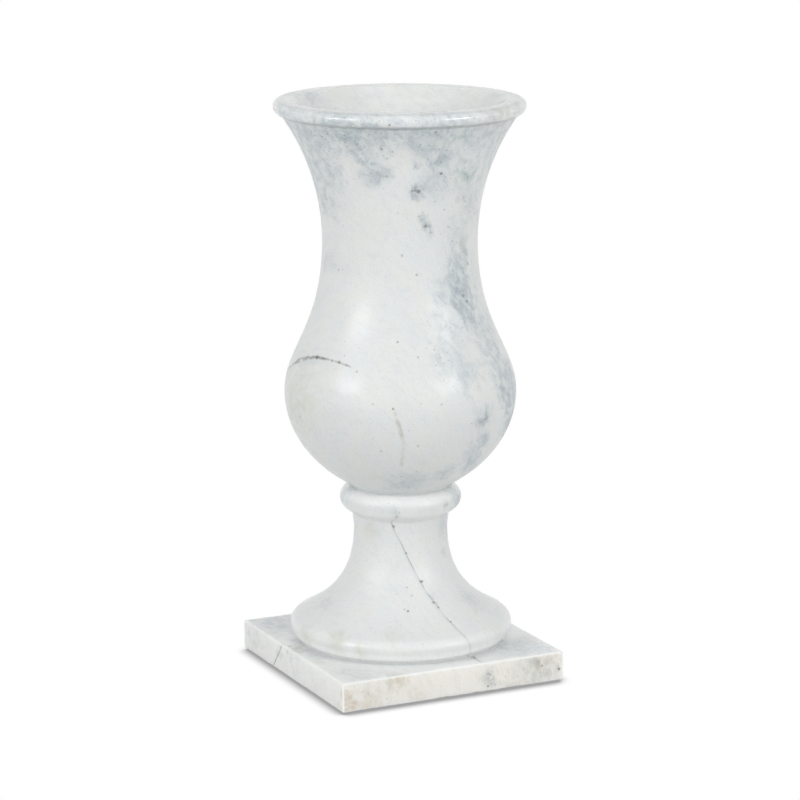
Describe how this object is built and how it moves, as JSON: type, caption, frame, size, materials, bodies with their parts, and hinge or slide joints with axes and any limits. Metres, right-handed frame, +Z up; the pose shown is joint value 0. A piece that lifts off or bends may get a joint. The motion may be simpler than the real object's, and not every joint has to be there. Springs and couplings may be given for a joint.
{
  "type": "urn vase",
  "caption": "Turned white marble urn vase with a flared rim, full belly, ringed stem and spreading foot on a square plinth.",
  "frame": {"origin": "bottom centre, on the floor, at the middle of the four rubber feet", "axes": "+Z up along the axis of turning; X and Y along the plinth's sides"},
  "size_m": [0.1686, 0.1686, 0.3925],
  "materials": {
    "body_marble": "honed and waxed white marble with blue-grey clouds",
    "foot_marble": "honed and waxed white marble with one dark vein",
    "plinth_marble": "honed top, sawn sides",
    "stone_adhesive": "matt",
    "resin": "matt cured resin",
    "zinc_steel": "zinc plated",
    "black_rubber": "matt moulded"
  },
  "bodies": {
    "root": {"vase_body": "body_marble", "foot": "foot_marble", "plinth": "plinth_marble", "upper_bed": "stone_adhesive", "lower_bed": "stone_adhesive", "tie_rod": "zinc_steel", "socket_resin": "resin", "rod_washer": "zinc_steel", "rod_nut": "zinc_steel", "rubber_foot_1": "black_rubber", "rubber_foot_2": "black_rubber", "rubber_foot_3": "black_rubber", "rubber_foot_4": "black_rubber"}
  },
  "joints": []
}
